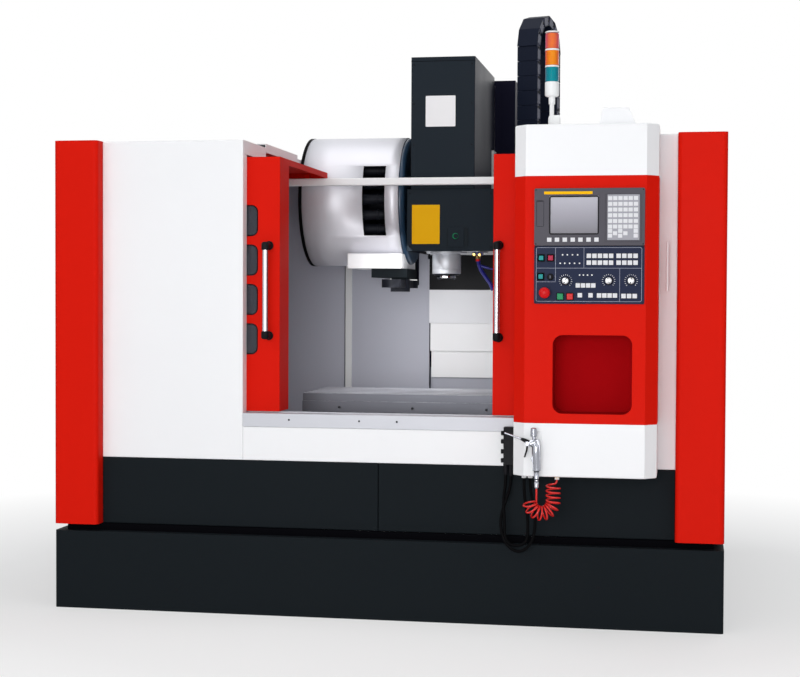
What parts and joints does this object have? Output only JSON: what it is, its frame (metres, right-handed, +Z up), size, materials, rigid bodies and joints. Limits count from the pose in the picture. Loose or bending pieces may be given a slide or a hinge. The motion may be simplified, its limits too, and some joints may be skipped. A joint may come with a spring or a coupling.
{
  "type": "vertical machining centre",
  "caption": "Vertical CNC machining centre in a sheet-metal enclosure with sliding doors, tool magazine with changer arm, operator's pendant, signal lamp and cable chain",
  "frame": {"origin": "On the floor, under the middle of the machine's bounding box.", "axes": "+X to the operator's right along the front, +Y from the front to the back, +Z up."},
  "size_m": [2.75, 2.4, 2.6984],
  "materials": {
    "panel_white": "satin powder coat",
    "machine_red": "satin powder coat",
    "base_black": "fine textured powder coat",
    "head_charcoal": "satin powder coat",
    "interior_grey": "satin paint",
    "cast_white": "painted casting",
    "cast_green": "machined and oiled casting",
    "ground_steel": "ground",
    "stainless_sheet": "brushed",
    "bright_chrome": "polished",
    "magazine_blue": "gloss paint",
    "unit_grey": "fine grained",
    "key_grey": "satin",
    "panel_black": "satin",
    "screen_glass": "clear over a lit display",
    "pane_clear": "clear polycarbonate",
    "black_plastic": "moulded",
    "lamp_white": "moulded",
    "lamp_lens": "clear coloured",
    "button_red": "moulded",
    "button_green": "moulded",
    "gun_silver": "cast",
    "hose_red": "smooth",
    "hose_black": "smooth",
    "nozzle_blue": "moulded"
  },
  "bodies": {
    "machine": {"base_tray": "base_black", "levelling_feet": "ground_steel", "bed_casting": "cast_white", "column_casting": "cast_white", "guide_rails": "ground_steel", "chip_pan": "stainless_sheet", "skirt_panels": "base_black", "left_pillar": "machine_red", "right_pillar": "machine_red", "left_front_panel": "panel_white", "right_front_panel": "panel_white", "sill_panel": "panel_white", "door_rail": "stainless_sheet", "left_cabinet_shell": "panel_white", "right_cabinet_shell": "panel_white", "rear_wall": "interior_grey", "cross_beam": "panel_white", "pendant_cap": "panel_white", "pendant_body": "machine_red", "pendant_base_box": "panel_white", "display_unit": "unit_grey", "display_screen": "screen_glass", "display_keys": "key_grey", "control_panel": "panel_black", "control_keys": "key_grey", "signal_lamp_stem": "lamp_white", "signal_lamp_lenses": "lamp_lens", "air_gun": "gun_silver", "coiled_air_hose": "hose_red", "service_hoses": "hose_black", "electrical_cabinet": "panel_white", "magazine_cover": "panel_white", "changer_gearbox": "head_charcoal", "cable_chain": "black_plastic"},
    "left_door": {"left_door": "machine_red", "left_door_windows": "pane_clear", "left_door_handle": "bright_chrome"},
    "right_door": {"right_door": "machine_red", "right_door_windows": "pane_clear", "right_door_handle": "bright_chrome"},
    "saddle": {"saddle": "cast_white"},
    "table": {"table": "cast_green"},
    "head": {"head_cover": "head_charcoal", "head_casting": "cast_white", "z_cover_upper": "panel_white", "spindle_cartridge": "ground_steel", "coolant_nozzles": "nozzle_blue"},
    "spindle": {"spindle_rotor": "bright_chrome"},
    "z_cover_middle": {"z_cover_middle": "panel_white"},
    "z_cover_lower": {"z_cover_lower": "panel_white"},
    "magazine_disc": {"magazine_disc": "ground_steel"},
    "changer_arm": {"changer_arm": "ground_steel"},
    "cabinet_door": {"electrical_cabinet_door": "panel_white"},
    "emergency_stop": {"emergency_stop": "button_red"},
    "feed_override_knob": {"feed_override_knob": "black_plastic"},
    "rapid_override_knob": {"rapid_override_knob": "black_plastic"},
    "spindle_override_knob": {"spindle_override_knob": "black_plastic"},
    "cycle_start_button": {"cycle_start_button": "button_green"},
    "feed_hold_button": {"feed_hold_button": "button_red"},
    "air_gun_trigger": {"air_gun_trigger": "black_plastic"}
  },
  "joints": [
    {"name": "left_door_slide", "type": "slide", "parent": "machine", "child": "left_door", "axis": [1, 0, 0], "range_m": [0, 0.44]},
    {"name": "right_door_slide", "type": "slide", "parent": "machine", "child": "right_door", "axis": [-1, 0, 0], "range_m": [0, 0.44]},
    {"name": "saddle_y_slide", "type": "slide", "parent": "machine", "child": "saddle", "axis": [0, 1, 0], "range_m": [0, 0.5]},
    {"name": "table_x_slide", "type": "slide", "parent": "saddle", "child": "table", "axis": [1, 0, 0], "range_m": [-0.329, 0.471]},
    {"name": "head_z_slide", "type": "slide", "parent": "machine", "child": "head", "axis": [0, 0, 1], "range_m": [-0.43, 0.07], "deforming": ["cable_chain"]},
    {"name": "spindle_turn", "type": "hinge", "parent": "head", "child": "spindle", "pos_m": [0.105, 0.15, 1.45], "axis": [0, 0, 1], "continuous": true},
    {"name": "z_cover_middle_slide", "type": "slide", "parent": "machine", "child": "z_cover_middle", "axis": [0, 0, 1], "range_m": [-0.2867, 0.0467]},
    {"name": "z_cover_lower_slide", "type": "slide", "parent": "machine", "child": "z_cover_lower", "axis": [0, 0, 1], "range_m": [-0.1434, 0.0234]},
    {"name": "magazine_turn", "type": "hinge", "parent": "machine", "child": "magazine_disc", "pos_m": [-0.29, 0.295, 1.764], "axis": [1, 0, 0], "continuous": true},
    {"name": "changer_arm_turn", "type": "hinge", "parent": "machine", "child": "changer_arm", "pos_m": [-0.116, 0.15, 1.37], "axis": [0, 0, 1], "range_deg": [0, 270]},
    {"name": "cabinet_door_hinge", "type": "hinge", "parent": "machine", "child": "cabinet_door", "pos_m": [1.352, 1.176, 1.115], "axis": [0, 0, 1], "range_deg": [-110, 0]},
    {"name": "emergency_stop_push", "type": "slide", "parent": "machine", "child": "emergency_stop", "axis": [0, 1, 0], "range_m": [0, 0.008], "stiffness_N_per_m": 900},
    {"name": "feed_override_turn", "type": "hinge", "parent": "machine", "child": "feed_override_knob", "pos_m": [0.765, -1.155, 1.371], "axis": [0, -1, 0], "range_deg": [-150, 150]},
    {"name": "rapid_override_turn", "type": "hinge", "parent": "machine", "child": "rapid_override_knob", "pos_m": [0.929, -1.155, 1.372], "axis": [0, -1, 0], "range_deg": [-60, 60]},
    {"name": "spindle_override_turn", "type": "hinge", "parent": "machine", "child": "spindle_override_knob", "pos_m": [1.014, -1.155, 1.372], "axis": [0, -1, 0], "range_deg": [-75, 75]},
    {"name": "cycle_start_push", "type": "slide", "parent": "machine", "child": "cycle_start_button", "axis": [0, 1, 0], "range_m": [0, 0.004], "stiffness_N_per_m": 500},
    {"name": "feed_hold_push", "type": "slide", "parent": "machine", "child": "feed_hold_button", "axis": [0, 1, 0], "range_m": [0, 0.004], "stiffness_N_per_m": 500},
    {"name": "air_trigger_pull", "type": "hinge", "parent": "machine", "child": "air_gun_trigger", "pos_m": [0.625, -1.18, 0.74], "axis": [0, 1, 0], "range_deg": [-8, 0], "stiffness_Nm_per_rad": 0.4}
  ],
  "couplings": [
    {"joint": "z_cover_middle_slide", "follows": "head_z_slide", "ratio": 0.6667},
    {"joint": "z_cover_lower_slide", "follows": "head_z_slide", "ratio": 0.3333}
  ]
}
